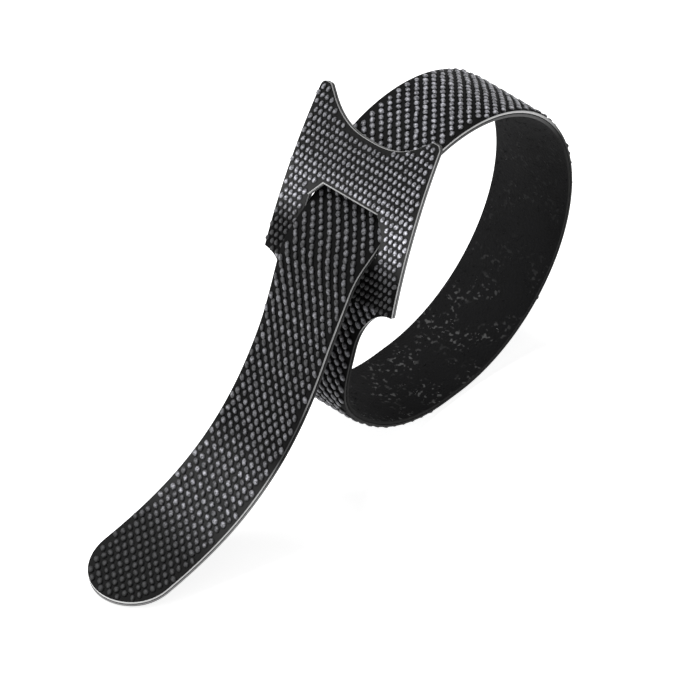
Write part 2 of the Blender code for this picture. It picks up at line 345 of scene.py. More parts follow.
class Graph:
    """The nodes of one material."""

    def __init__(self, name: str) -> None:
        """Start a material with an empty graph."""
        self.material = bpy.data.materials.new(name)
        self.material.use_nodes = True
        self.tree = self.material.node_tree
        self.tree.nodes.clear()

    def node(self, kind: str, settings: dict[str, Any] | None = None,
             sockets: dict[Any, Any] | None = None) -> bpy.types.Node:
        """Add one node.

        Args:
            kind: The node's type.
            settings: Its properties, which are set first; stops are a ramp's places and greys.
            sockets: Values or wires of its inputs, by name or number.

        Returns:
            The node.
        """
        made = self.tree.nodes.new(kind)
        for name, value in (settings or {}).items():
            if name == "stops":
                ramp = made.color_ramp.elements
                while len(ramp) < len(value):
                    ramp.new(0.5)
                for stop, (place, tone) in zip(ramp, value):
                    stop.position = place
                    stop.color = (tone, tone, tone, 1.0)
            else:
                setattr(made, name, value)
        for name, value in (sockets or {}).items():
            target = made.inputs[name]
            if isinstance(value, Wire):
                self.tree.links.new(value.socket, target)
            else:
                target.default_value = value
        return made

    def out(self, made: bpy.types.Node, name: str | int = 0) -> Wire:
        """One output of a node as a wire."""
        return Wire(self, made.outputs[name])

    def flat_place(self) -> Wire:
        """Place on the flat tie, in metres."""
        return self.out(self.node("ShaderNodeUVMap", {"uv_map": "flat"}), "UV")

    def _over(self, axis: str, stops: Stops) -> Wire:
        """Value that changes along one axis of the flat tie.

        Args:
            axis: X across the tie or Y along it.
            stops: Distances on that axis with their values, in rising order.

        Returns:
            The value.
        """
        parts = self.node("ShaderNodeSeparateXYZ", None, {"Vector": self.flat_place()})
        first = stops[0][0]
        span = stops[-1][0] - first
        share = (self.out(parts, axis) - first) * (1.0 / span)
        return self.ramp(share, [((place - first) / span, value) for place, value in stops])

    def along(self, stops: Stops) -> Wire:
        """Value that changes along the tie, from the horn tips."""
        return self._over("Y", stops)

    def aside(self, stops: Stops) -> Wire:
        """Value that changes across the tie, from its middle line."""
        return self._over("X", stops)

    def kept(self, name: str) -> Wire:
        """A value that was kept for every vertex."""
        return self.out(self.node("ShaderNodeAttribute", {"attribute_name": name}), "Fac")

    def noise(self, place: Wire, grain: float, detail: float = 2.0) -> Wire:
        """Noise from 0 to 1.

        Args:
            place: Where it is read.
            grain: Size of its features, in metres.
            detail: How many finer layers it has.

        Returns:
            The noise.
        """
        sockets = {"Vector": place, "Scale": 1.0 / grain, "Detail": detail, "Roughness": 0.55}
        made = self.node("ShaderNodeTexNoise", {"noise_dimensions": "3D"}, sockets)
        return self.out(made, "Fac")

    def clumps(self, place: Wire, grain: float = 4.5 * MM) -> Wire:
        """Clumps where the flecks gather: 1 inside them and 0 between them."""
        return self.ramp(self.noise(place, grain, 1.0), [(0.46, 0.0), (0.60, 1.0)])

    def ramp(self, value: Wire, stops: Sequence[tuple[float, float]]) -> Wire:
        """Grey along a ramp."""
        made = self.node("ShaderNodeValToRGB", {"stops": stops}, {"Fac": value})
        return self.out(made, "Color")

    def mix(self, share: Any, first: Any, second: Any) -> Wire:
        """Mix of two colours."""
        made = self.node("ShaderNodeMix", {"data_type": "RGBA"}, {0: share, 6: first, 7: second})
        return self.out(made, 2)

    def bump(self, height: Wire, depth: float) -> Wire:
        """Normal that a height gives.

        Args:
            height: The height, from 0 to 1.
            depth: What a height of 1 stands for, in metres.

        Returns:
            The normal.
        """
        sockets = {"Height": height, "Distance": depth, "Strength": 1.0}
        return self.out(self.node("ShaderNodeBump", None, sockets), "Normal")

    def finish(self, sockets: dict[str, Any]) -> bpy.types.Material:
        """Close the graph with a Principled shader.

        Args:
            sockets: Values or wires of the shader's inputs.

        Returns:
            The material.
        """
        shader = self.node("ShaderNodeBsdfPrincipled", None, sockets)
        self.node("ShaderNodeOutputMaterial", None, {"Surface": self.out(shader, "BSDF")})
        return self.material


def grey(value: float, blue: float = 0.0) -> tuple[float, float, float, float]:
    """Opaque grey, a little bluer if asked."""
    return (value, value, value * (1.0 + blue), 1.0)


# ---------------------------------------------------------------------------
# Finishes
# ---------------------------------------------------------------------------


@dataclass(frozen=True)
class HookNylon:
    """Moulded hooks: black nylon whose rounded tops carry a painted highlight and whose feet stay
    dark.
    """

    name: str = "moulded_hook_nylon"
    crest_highlight: float = 0.60
    crest_highlight_power: float = 2.4
    foot: float = 0.003
    blue: float = 0.10
    roughness: float = 0.24
    cloud_grain: float = 14.0 * MM
    hook_grain: float = 0.9 * MM
    scuff_grain: float = 0.30 * MM
    # Painted light and shade along the tape: brighter where the lights catch the hooks, darker
    # where they lie in shade.
    painted_light: Stops = in_mm(
        (0, 0.5), (40, 0.4), (100, 0.4), (112, 0.6), (124, 0.95), (134, 0.7), (145, 0.28),
        (152, 0.22), (160, 0.34), (177, 0.28), (181, 0.62), (187, 0.62), (193, 0.08), (204, 0.04))
    # Painted shade on the odd rows of hooks, by an amount that changes along the tape.
    odd_rows: Stops = in_mm(
        (0, 0.25), (134, 0.25), (145, 0.0), (154, 0.7), (167, 0.75), (175, 0.2), (181, 0.7),
        (187, 0.7), (194, 0.1), (204, 0.0))
    lit: Stops = in_mm((-11, 1.0), (11, 1.0))

    def material(self) -> bpy.types.Material:
        """Make the material of the hooks.

        Returns:
            The material.
        """
        graph = Graph(self.name)
        place = graph.flat_place()
        broad = graph.noise(place, self.cloud_grain)
        each = graph.noise(place, self.hook_grain)
        scuffs = graph.noise(place, self.scuff_grain, 3.0)
        # Painted highlight: the hook tops are painted light grey towards their crests, broken up
        # unevenly by noise.
        crest_highlight_share = graph.kept("height") ** self.crest_highlight_power
        broken = graph.ramp(scuffs, [(0.40, 0.0), (0.60, 1.0)])
        highlight_breakup = (0.15 + 0.40 * broad + 0.90 * each) * (0.30 + 1.40 * broken)
        # Painted shade: hooks in odd rows are darker.
        odd_row_shade = 1.0 - graph.kept("odd_row") * graph.along(self.odd_rows)
        # Painted light and shade along and across the tape; the hooks are also made duller where it
        # is dark.
        painted_light_share = graph.along(self.painted_light) * graph.aside(self.lit)
        tone = crest_highlight_share * highlight_breakup * odd_row_shade * painted_light_share
        colour = graph.mix(tone, grey(self.foot), grey(self.crest_highlight, self.blue))
        dulled = 0.24 * (each - 0.5) + 0.12 * scuffs + 0.35 * (1.0 - painted_light_share)
        return graph.finish({"Base Color": colour, "Roughness": self.roughness + dulled,
                             "Normal": graph.bump(scuffs, 0.012 * MM)})


@dataclass(frozen=True)
class WebNylon:
    """The web between the hooks: near black, with painted light that makes it a little paler in
    places.
    """

    name: str = "hook_web_nylon"
    dark: float = 0.003
    pale: float = 0.045
    roughness: float = 0.55
    # Painted light along the tape: palest beside the slot and near the tail's lower end.
    painted_light: Stops = in_mm(
        (0, 0.25), (9, 0.35), (12, 0.9), (16, 1.0), (19, 0.0), (100, 0.12), (134, 0.16),
        (148, 0.05), (176, 0.10), (182, 0.7), (188, 0.7), (193, 0.25), (204, 0.20))

    def material(self) -> bpy.types.Material:
        """Make the material of the web's hook face.

        Returns:
            The material.
        """
        graph = Graph(self.name)
        place = graph.flat_place()
        cloud = graph.noise(place, 0.5 * MM, 3.0)
        colour = graph.mix(graph.along(self.painted_light), grey(self.dark), grey(self.pale))
        return graph.finish({"Base Color": colour, "Roughness": self.roughness + 0.2 * cloud,
                             "Specular IOR Level": 0.05, "Normal": graph.bump(cloud, 0.03 * MM)})


@dataclass(frozen=True)
class CutEdge:
    """The die-cut edge of a web: black, with a painted highlight that makes it pale where the light
    catches it.
    """

    name: str
    pale: float
    dull: float
    roughness: float = 0.38
    # Painted highlight along the tape: pale where the edge faces the lights, dark along much of the
    # loop.
    painted_light: Stops = in_mm(
        (0, 0.75), (25, 0.8), (28, 0.0), (106, 0.0), (114, 1.0), (136, 1.0), (146, 0.7),
        (168, 0.6), (172, 0.08), (177, 0.08), (181, 1.0), (204, 1.0))

    def material(self) -> bpy.types.Material:
        """Make the material of a cut edge.

        Returns:
            The material.
        """
        graph = Graph(self.name)
        place = graph.out(graph.node("ShaderNodeTexCoord"), "Object")
        long = graph.noise(place, 9.0 * MM)
        short = graph.noise(place, 0.45 * MM, 4.0)
        tone = (0.45 + 0.5 * long + 0.5 * short) * graph.along(self.painted_light)
        colour = graph.mix(tone, grey(self.dull), grey(self.pale))
        return graph.finish({"Base Color": colour, "Roughness": self.roughness + 0.3 * short,
                             "Specular IOR Level": 0.15,
                             "Normal": graph.bump(short, 0.03 * MM)})


@dataclass(frozen=True)
class PileKnit:
    """The loop side: a black knit that takes up the light, with lighter flecks in clumps."""

    name: str = "loop_pile_knit"
    shade: float = 0.006
    fleck_tone: float = 0.09
    sheen: float = 0.012
    # Lighter flecks along the tape, most of them on the loop's lower inner face.
    flecks_along: Stops = in_mm((0, 0.1), (36, 0.3), (42, 1.0), (74, 0.8), (84, 0.1), (204, 0.1))

    def material(self) -> bpy.types.Material:
        """Make the material of the pile's ground.

        Returns:
            The material.
        """
        graph = Graph(self.name)
        place = graph.flat_place()
        knit = graph.noise(place, 0.35 * MM, 4.0)
        cloud = graph.noise(place, 7.0 * MM)
        tone = 0.55 * knit + 0.45 * cloud
        ground = graph.mix(tone, grey(self.shade * 0.7), grey(self.shade * 2.0, 0.06))
        spread = graph.noise(place, 0.7 * MM, 1.0)
        flecks = graph.ramp(spread, [(0.58, 0.0), (0.66, 1.0)]) * graph.clumps(place)
        colour = graph.mix(flecks * graph.along(self.flecks_along), ground, grey(self.fleck_tone))
        return graph.finish({"Base Color": colour, "Roughness": 0.82 + 0.18 * knit,
                             "Specular IOR Level": 0.08, "Sheen Weight": self.sheen,
                             "Sheen Roughness": 0.6, "Normal": graph.bump(knit, 0.16 * MM)})


@dataclass(frozen=True)
class PileThread:
    """Single threads of the pile: black, with a few that catch the light."""

    name: str = "loop_pile_thread"
    shade: float = 0.007
    glint: float = 0.30
    flecks_along: Stops = in_mm((0, 0.1), (36, 0.3), (42, 1.0), (74, 0.8), (84, 0.2), (204, 0.1))

    def material(self) -> bpy.types.Material:
        """Make the material of the pile's loops.

        Returns:
            The material.
        """
        graph = Graph(self.name)
        place = graph.flat_place()
        patch = graph.noise(place, 1.1 * MM, 1.0)
        # Painted glints on a few threads, in clumps and most of them along the loop's lower inner
        # face.
        sparse = graph.ramp(patch, [(0.54, 0.0), (0.66, 1.0)]) * graph.clumps(place)
        colour = graph.mix(sparse * graph.along(self.flecks_along), grey(self.shade, 0.05),
                           grey(self.glint))
        return graph.finish({"Base Color": colour, "Roughness": 0.62, "Specular IOR Level": 0.15})


@dataclass(frozen=True)
class FloorPaper:
    """Plain pale paper on a light table."""

    name: str = "pale_paper"
    shade: float = 0.80
    glow: float = 0.85

    def material(self) -> bpy.types.Material:
        """Make the material of the floor.

        Returns:
            The material.
        """
        graph = Graph(self.name)
        place = graph.out(graph.node("ShaderNodeTexCoord"), "Object")
        tone = graph.noise(place, 60.0 * MM)
        colour = graph.mix(tone, grey(self.shade * 0.99), grey(self.shade))
        return graph.finish({"Base Color": colour, "Roughness": 0.9, "Specular IOR Level": 0.1,
                             "Emission Color": grey(1.0), "Emission Strength": self.glow})


# ---------------------------------------------------------------------------
# The flat tie and its route
# ---------------------------------------------------------------------------


@dataclass(frozen=True)
class Pattern:
    """Sizes of the flat tie, as in the part's source."""

    strap_width: float = 12.0 * MM
    thickness: float = 1.15 * MM
    slot_clearance: float = 0.3 * MM
    slot_corner_width: float = 1.85 * MM
    slot_corner_length: float = 1.6 * MM
    side_web: float = 4.2 * MM
    upper_web: float = 7.9 * MM
    lower_web: float = 5.6 * MM
    head_taper: float = 0.8 * MM
    notch_depth: float = 3.9 * MM
    notch_rise: float = 2.9 * MM
    notch_power: float = 2.6
    horn_base: float = 2.3 * MM
    horn_round: float = 0.9 * MM
    shoulder_length: float = 6.6 * MM
    crossing_angle: float = math.radians(35.0)
    snug_gap: float = 0.05 * MM
    snug_corner: float = 2.3 * MM
    snug_lip: float = 1.5 * MM
    round_steps: int = 24
    corner_steps: int = 8

    @property
    def crossing_half(self) -> float:
        """Half the length of slot that the slanting strap needs."""
        across = (self.thickness / 2.0 + self.slot_clearance) / math.sin(self.crossing_angle)
        return across + self.thickness / 2.0 / math.tan(self.crossing_angle)

    @property
    def slot_start(self) -> float:
        """Where the slot starts, from the horn tips."""
        return self.notch_depth + self.upper_web

    @property
    def slot_centre(self) -> float:
        """Where the strap passes the slot."""
        spare = max(0.0, 1.0 - self.slot_clearance / self.slot_corner_width)
        return self.slot_start + self.slot_corner_length * spare + self.crossing_half

    @property
    def slot_end(self) -> float:
        """Where the slot ends."""
        return self.slot_centre + self.crossing_half

    @property
    def shoulder_start(self) -> float:
        """Where the head starts to narrow."""
        return self.slot_end + self.lower_web

    @property
    def head_width(self) -> float:
        """Width of the head at its shoulders."""
        return self.strap_width + 2.0 * (self.slot_clearance + self.side_web)

    def _horn(self) -> list[Vector]:
        """Draw the right horn, from the middle of the notch round its tip.

        Returns:
            Points of its edge.
        """
        span = self.head_width / 2.0 - self.head_taper - self.horn_base
        shares = [i / self.round_steps for i in range(self.round_steps)]
        inner = [Vector((span * share,
                         self.notch_depth - self.notch_rise * share ** self.notch_power))
                 for share in shares]
        end = Vector((span, self.notch_depth - self.notch_rise))
        slope = self.notch_rise * self.notch_power / span
        corner = end + Vector((self.horn_base, -slope * self.horn_base))
        shoulder = Vector((self.head_width / 2.0, self.shoulder_start))
        return inner + self._rounded(corner, end, shoulder)

    def _rounded(self, corner: Vector, before: Vector, after: Vector) -> list[Vector]:
        """Round a corner between two straight edges.

        Args:
            corner: The corner.
            before: Where the first edge starts.
            after: Where the second edge ends.

        Returns:
            Points of the arc.
        """
        to_before = (before - corner).normalized()
        to_after = (after - corner).normalized()
        half = to_before.angle(to_after) / 2.0
        setback = min(self.horn_round / math.tan(half), (before - corner).length)
        radius = setback * math.tan(half)
        centre = corner + (to_before + to_after).normalized() * radius / math.sin(half)
        first = (corner + to_before * setback - centre).to_3d().normalized()
        last = (corner + to_after * setback - centre).to_3d().normalized()
        steps = self.corner_steps
        return [centre + (first.slerp(last, i / steps) * radius).to_2d() for i in range(steps + 1)]

    def outline(self, total: float, inset: float = 0.0) -> np.ndarray:
        """Outline of the flat tie.

        Args:
            total: Length of the flat tie.
            inset: How far the outline is drawn in.

        Returns:
            Its corners, counter-clockwise, one row each.
        """
        right = self._horn()
        drop = (self.head_width - self.strap_width) / 2.0
        corner = Vector((self.head_width / 2.0, self.shoulder_start))
        right.append(corner)
        for i in range(1, self.round_steps + 1):
            angle = math.pi / 2.0 * i / self.round_steps
            right.append(corner + Vector((-drop * math.sin(angle),
                                          self.shoulder_length * (1.0 - math.cos(angle)))))
        radius = self.strap_width / 2.0
        for i in range(self.round_steps + 1):
            angle = math.pi / 2.0 * i / self.round_steps
            right.append(Vector((radius * math.cos(angle),
                                 total - radius + radius * math.sin(angle))))
        left = [Vector((-point.x, point.y)) for point in reversed(right[1:-1])]
        return draw_in(np.array([tuple(point) for point in right + left]), inset)

    def slot(self, inset: float = 0.0) -> np.ndarray:
        """Outline of the slot.

        Args:
            inset: How far the outline is drawn in; below 0 it grows.

        Returns:
            Its corners, counter-clockwise, one row each.
        """
        wide = self.strap_width / 2.0 + self.slot_clearance
        right = [(wide - self.slot_corner_width, self.slot_start),
                 (wide, self.slot_start + self.slot_corner_length), (wide, self.slot_end)]
        left = [(-x, y) for x, y in reversed(right)]
        return draw_in(np.array(right + left), inset)

    def snug_slot(self, inset: float = 0.0) -> np.ndarray:
        """Outline of the slot in the thin webs, with no more room than the strap takes.

        Args:
            inset: How far the outline is drawn in; below 0 it grows.

        Returns:
            Its corners, counter-clockwise, one row each.
        """
        wide = self.strap_width / 2.0 + self.snug_gap
        cut = self.strap_width / 2.0 + self.slot_clearance - self.slot_corner_width
        right = [(cut, self.slot_start), (wide, self.slot_start + self.snug_corner),
                 (wide, self.slot_centre + self.snug_lip)]
        left = [(-x, y) for x, y in reversed(right)]
        return draw_in(np.array(right + left), inset)


def draw_in(outline: np.ndarray, inset: float) -> np.ndarray:
    """Draw an outline in by the same distance all round.

    Args:
        outline: Corners, counter-clockwise, one row each.
        inset: The distance; below 0 the outline grows.

    Returns:
        The new corners.
    """
    along = np.roll(outline, -1, axis=0) - outline
    along /= np.linalg.norm(along, axis=1)[:, None]
    inward = np.column_stack([-along[:, 1], along[:, 0]])
    before = np.roll(inward, 1, axis=0)
    both = inward + before
    scale = 1.0 + (inward * before).sum(axis=1)
    return outline + inset * both / scale[:, None]


def depth_inside(points: np.ndarray, outline: np.ndarray) -> np.ndarray:
    """How far points lie inside an outline.

    Args:
        points: Places, one row each.
        outline: Corners of a closed outline, one row each.

    Returns:
        Distance to the outline, below 0 outside it.
    """
    start = outline
    step = np.roll(outline, -1, axis=0) - outline
    gap = points[:, None, :] - start[None, :, :]
    share = np.clip((gap * step).sum(axis=2) / (step * step).sum(axis=1), 0.0, 1.0)
    near = np.linalg.norm(gap - share[:, :, None] * step, axis=2).min(axis=1)
    end = start + step
    y = points[:, 1:2]
    spans = (start[:, 1] > y) != (end[:, 1] > y)
    slant = step[:, 0] / np.where(step[:, 1] == 0.0, 1e-12, step[:, 1])
    crosses = spans & (points[:, :1] < start[:, 0] + (y - start[:, 1]) * slant)
    return np.where(crosses.sum(axis=1) % 2 == 1, near, -near)


def ease(share: np.ndarray) -> np.ndarray:
    """Ease from 0 to 1."""
    share = np.clip(share, 0.0, 1.0)
    return share * share * (3.0 - 2.0 * share)


def heading_vector(heading: float) -> np.ndarray:
    """Unit vector of a heading in the side view."""
    return np.array([0.0, math.cos(heading), math.sin(heading)])


@dataclass
class Route:
    """The line that the middle of the tape follows, as in the part's source."""

    pattern: Pattern
    loop_radius: float = 20.9 * MM
    rest_flat: float = 2.4 * MM
    slot_bearing: float = math.radians(137.4)
    head_inset: float = 2.3 * MM
    head_heading: float = math.radians(247.5)
    head_arch_radius: float = 78.0 * MM
    loop_start: float = math.radians(-42.0)
    loop_end: float = math.radians(194.0)
    neck_handles: tuple[float, float] = (0.60, 0.50)
    catch_handles: tuple[float, float] = (0.40, 0.30)
    tail_length: float = 56.6 * MM
    tail_lead_out: float = 3.4 * MM
    tail_droop_radius: float = 7.5 * MM
    tail_droop: float = math.radians(28.0)
    tail_landing: float = 44.5 * MM
    landing_heading: float = math.radians(189.0)
    tail_handles: tuple[float, float] = (0.335, 0.42)
    tail_sway: float = 1.5 * MM
    tail_drift: float = 1.7 * MM
    tail_roll: float = math.radians(9.5)
    tail_roll_peak: float = 0.25
    step: float = 0.2 * MM
    bend_fineness: float = 1.3
    points: list[np.ndarray] = field(default_factory=list)

    def __post_init__(self) -> None:
        """Lay the route from the horn tips to the tail's tip."""
        part = self.pattern
        centre = np.array([0.0, 0.0, self.loop_radius + part.thickness / 2.0])
        slot = centre + heading_vector(self.slot_bearing) * (self.loop_radius - self.head_inset)
        entry = self.head_heading - part.crossing_angle
        start = self.head_heading - part.slot_centre / self.head_arch_radius
        to_slot = np.array([0.0, math.sin(self.head_heading) - math.sin(start),
                            math.cos(start) - math.cos(self.head_heading)])
        self.points = [slot - self.head_arch_radius * to_slot]
        self._arc(start, self.head_arch_radius, part.shoulder_start / self.head_arch_radius)
        past_slot = part.shoulder_start - part.slot_centre
        shoulder = self.head_heading + past_slot / self.head_arch_radius
        front = centre + heading_vector(self.loop_start - math.pi / 2.0) * self.loop_radius
        front[1] -= self.rest_flat / 2.0
        self._bend(shoulder, front, self.loop_start, self.neck_handles)
        self._arc(self.loop_start, self.loop_radius, -self.loop_start)
        self._line(0.0, self.rest_flat)
        self._arc(0.0, self.loop_radius, self.loop_end)
        inside = slot - heading_vector(entry) * part.crossing_half
        self._bend(self.loop_end, inside, entry, self.catch_handles)
        self._line(entry, part.crossing_half)
        self.passing = self._length()
        tail_from = len(self.points)
        self._line(entry, self.tail_lead_out)
        self._arc(entry, self.tail_droop_radius, self.tail_droop)
        landing = np.array([0.0, slot[1] - self.tail_landing, part.thickness / 2.0])
        self._bend(entry + self.tail_droop, landing, self.landing_heading, self.tail_handles)
        self._line(math.pi, self.tail_length)
        self._sway(tail_from)
        self.total = self.passing + self.tail_length
        self._measure()

    def _arc(self, heading: float, radius: float, turn: float) -> None:
        """Go on along an arc.

        Args:
            heading: Heading where it starts.
            radius: Its radius.
            turn: How far it turns, to the left in the side view.
        """
        count = max(2, math.ceil(radius * abs(turn) / self.step))
        start = self.points[-1]
        for i in range(1, count + 1):
            now = heading + turn * i / count
            reach = np.array([0.0, math.sin(now) - math.sin(heading),
                              math.cos(heading) - math.cos(now)])
            self.points.append(start + radius * reach)

    def _line(self, heading: float, length: float) -> None:
        """Go on straight.

        Args:
            heading: The heading.
            length: How far.
        """
        count = max(1, math.ceil(length / self.step))
        start = self.points[-1]
        for i in range(1, count + 1):
            self.points.append(start + heading_vector(heading) * length * i / count)

    def _bend(self, heading: float, end: np.ndarray, end_heading: float,
              handles: tuple[float, float]) -> None:
        """Go on along a smooth bend.

        Args:
            heading: Heading where it starts.
            end: Where it ends.
            end_heading: Heading there.
            handles: How long each end keeps its heading, as shares of the distance.
        """
        start = self.points[-1]
        reach = float(np.linalg.norm(end - start))
        first = start + heading_vector(heading) * reach * handles[0]
        second = end - heading_vector(end_heading) * reach * handles[1]
        count = max(2, math.ceil(self.bend_fineness * reach / self.step))
        for i in range(1, count + 1):
            t = i / count
            u = 1.0 - t
            self.points.append(start * u ** 3 + first * 3 * u * u * t
                               + second * 3 * u * t * t + end * t ** 3)

    def _sway(self, tail_from: int) -> None:
        """Let the tail sway sideways, past where it leaves the slot.

        Args:
            tail_from: Number of the tail's first point.
        """
        past = 0.0
        before = self.points[tail_from - 1]
        for index in range(tail_from, len(self.points)):
            point = self.points[index]
            past += float(np.linalg.norm(point - before))
            before = point
            share = max(0.0, (past - self.tail_lead_out) / (self.tail_length - self.tail_lead_out))
            sway = self.tail_sway * (4.0 * share * (1.0 - share)) ** 2
            self.points[index] = point + np.array([sway - self.tail_drift * share ** 3, 0.0, 0.0])

    def _length(self) -> float:
        """Length of the route so far."""
        line = np.array(self.points)
        return float(np.linalg.norm(np.diff(line, axis=0), axis=1).sum())

    def _measure(self) -> None:
        """Work out the tape's directions at every point of the route."""
        self.line = np.array(self.points)
        legs = np.diff(self.line, axis=0)
        self.reach = np.concatenate([[0.0], np.cumsum(np.linalg.norm(legs, axis=1))])
        legs /= np.linalg.norm(legs, axis=1)[:, None]
        along = np.vstack([legs[:1], legs[1:] + legs[:-1], legs[-1:]])
        along /= np.linalg.norm(along, axis=1)[:, None]
        level = np.array([1.0, 0.0, 0.0]) - along * along[:, :1]
        level /= np.linalg.norm(level, axis=1)[:, None]
        outward = np.cross(along, level)
        share = (self.reach - self.passing - self.pattern.crossing_half) / self.tail_length
        fall = (share - self.tail_roll_peak) / (1.0 - self.tail_roll_peak)
        roll = self.tail_roll * (ease(share / self.tail_roll_peak) - ease(fall))[:, None]
        self.across = -level * np.cos(roll) - outward * np.sin(roll)
        self.outward = outward * np.cos(roll) - level * np.sin(roll)

    def bend(self, item: bpy.types.Object) -> None:
        """Bend a flat piece along the route and put it where the CAD tie is.

        Args:
            item: The piece, still flat.
        """
        flat = coordinates(item.data)
        middle, across, outward = (
            np.column_stack([np.interp(flat[:, 1], self.reach, table[:, k]) for k in range(3)])
            for table in (self.line, self.across, self.outward))
        bent = middle + across * flat[:, :1] + outward * flat[:, 2:]
        far_side = self.rest_flat / 2.0 + self.loop_radius + self.pattern.thickness / 2.0
        bent[:, 1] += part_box(NODE)[1].y - far_side
        place_vertices(item.data, bent)


# ---------------------------------------------------------------------------
# The tie
# ---------------------------------------------------------------------------


class Ground(Enum):
    """Which part of the tie a field of hooks covers."""

    HEAD = "head"
    STRAP = "strap"


def dress(item: bpy.types.Object, finishes: Sequence[Any], route: Route,
          degrees: float) -> bpy.types.Object:
    """Give a flat piece its materials, bend it with the tape and shade it smooth.

    Args:
        item: The piece, still flat.
        finishes: Its finishes, in the order of its material slots.
        route: The line that the tape follows.
        degrees: Edges sharper than this stay sharp.

    Returns:
        The piece.
    """
    for finish in finishes:
        item.data.materials.append(finish.material())
    note_flat_places(item.data)
    route.bend(item)
    smooth(item, degrees)
    return item


@dataclass
class Web:
    """One web of the laminated tape, cut to the outline and slotted."""

    name: str
    low: float
    high: float
    inset: float
    face: WebNylon | PileKnit
    edge: CutEdge
    rim: float = 0.05 * MM
    bend_step: float = 0.7 * MM
    crease: float = 40.0

    def build(self, pattern: Pattern, route: Route) -> bpy.types.Object:
        """Cut the web, soften its edges, dress it and bend it.

        Args:
            pattern: Sizes of the flat tie.
            route: The line that the tape follows.

        Returns:
            The web.
        """
        web = cut_sheet(self.name, pattern.outline(route.total, self.inset), self.low, self.high)
        cut_away(web, cut_sheet("slot_cutter", pattern.snug_slot(-self.inset),
                                self.low - MM, self.high + MM))
        soften_rims(web, self.rim)
        slice_across(web, 0.0, route.total, self.bend_step)
        for face in web.data.polygons:
            face.material_index = 0 if abs(face.normal.z) > FACES_UP else 1
        return dress(web, (self.face, self.edge), route, self.crease)


@dataclass
class HookField:
    """Rows of moulded hooks on the outer face."""

    name: str
    ground: Ground
    foot: float
    width: float
    height: float
    length: float
    column_pitch: float
    row_pitch: float
    row_slant: Stops
    sideways: Stops
    finish: HookNylon
    waist: float = 0.32
    lean: float = 0.04
    ridge: float = 0.32
    edge_room: float = 0.25
    loose: float = 0.03 * MM
    twist: float = math.radians(6.0)
    uneven: float = 0.08
    sizes: tuple[float, float] = (0.82, 1.06)
    crease: float = 180.0
    seed: int = 11

    def _hook(self) -> bpy.types.Object:
        """Model one hook: a long rounded head that leans forwards and draws in at its foot.

        Returns:
            The hook, with its foot at the origin.
        """
        deselect_all()
        tall = 2.0 * (1.0 - self.waist) * self.height
        bpy.ops.mesh.primitive_uv_sphere_add(segments=8, ring_count=6, radius=0.5,
                                             location=(0.0, 0.0, self.waist * self.height),
                                             scale=(self.width, self.length, tall))
        hook = bpy.context.object
        bpy.ops.object.transform_apply(location=True, rotation=False, scale=True)
        pick_faces(hook, lambda face: face.normal.z > 0.5)
        with editing(hook):
            bpy.ops.transform.translate(value=(0.0, self.lean * self.length, 0.0))
        with editing(hook):
            bpy.ops.mesh.select_all(action="SELECT")
            bpy.ops.mesh.bisect(plane_co=(0.0, 0.0, 0.0), plane_no=(0.0, 0.0, 1.0),
                                clear_inner=True)
        return hook

    def _spots(self, pattern: Pattern, total: float) -> tuple[np.ndarray, np.ndarray, np.ndarray]:
        """Hooks on the flat tie.

        Args:
            pattern: Sizes of the flat tie.
            total: Its length.

        Returns:
            Places of the hooks that fit between the outline and the slot, one row each, the angle
            of each hook's ridge from the tape's length, and whether it stands in an odd row.
        """
        split = pattern.shoulder_start
        first, last = (0.0, split) if self.ground is Ground.HEAD else (split, total)
        half = pattern.head_width / 2.0
        rows = np.arange(first - half, last + half, self.row_pitch)
        slant = np.interp(rows, *np.array(self.row_slant).T)
        sideways = np.interp(rows, *np.array(self.sideways).T)
        columns = np.arange(int(2.0 * half / self.column_pitch) + 2)
        shift = np.cumsum(sideways) % self.column_pitch
        x = -half + shift[:, None] + columns[None, :] * self.column_pitch
        y = rows[:, None] + slant[:, None] * x
        spots = np.column_stack([x.ravel(), y.ravel()])
        ridges = np.arctan2(-sideways, self.row_pitch + slant * sideways)
        turns = np.repeat(ridges, len(columns))
        odd = np.repeat(np.arange(len(rows)) % 2, len(columns))
        reach = self.ridge * self.length * np.column_stack([-np.sin(turns), np.cos(turns)])
        room = self.edge_room * self.width
        keep = (spots[:, 1] >= first) & (spots[:, 1] < last)
        for end in (spots - reach, spots + reach):
            keep &= depth_inside(end, pattern.outline(total)) > room
            keep &= depth_inside(end, pattern.slot()) < -room
        return spots[keep], turns[keep], odd[keep]

    def build(self, pattern: Pattern, route: Route) -> bpy.types.Object:
        """Set the hooks and bend them with the tape.

        Args:
            pattern: Sizes of the flat tie.
            route: The line that the tape follows.

        Returns:
            The field of hooks.
        """
        random = np.random.default_rng(self.seed)
        spots, turns, odd = self._spots(pattern, route.total)
        count = len(spots)
        places = np.column_stack([spots, np.full(count, self.foot)])
        places[:, :2] += random.normal(0.0, self.loose, (count, 2))
        turns += random.normal(0.0, self.twist, count)
        sizes = random.normal(1.0, self.uneven, (count, 3)).clip(*self.sizes)
        hooks = repeat(self.name, self._hook(), places, turns, sizes)
        keep_value(hooks.data, "odd_row", np.repeat(odd, len(hooks.data.vertices) // count))
        return dress(hooks, (self.finish,), route, self.crease)


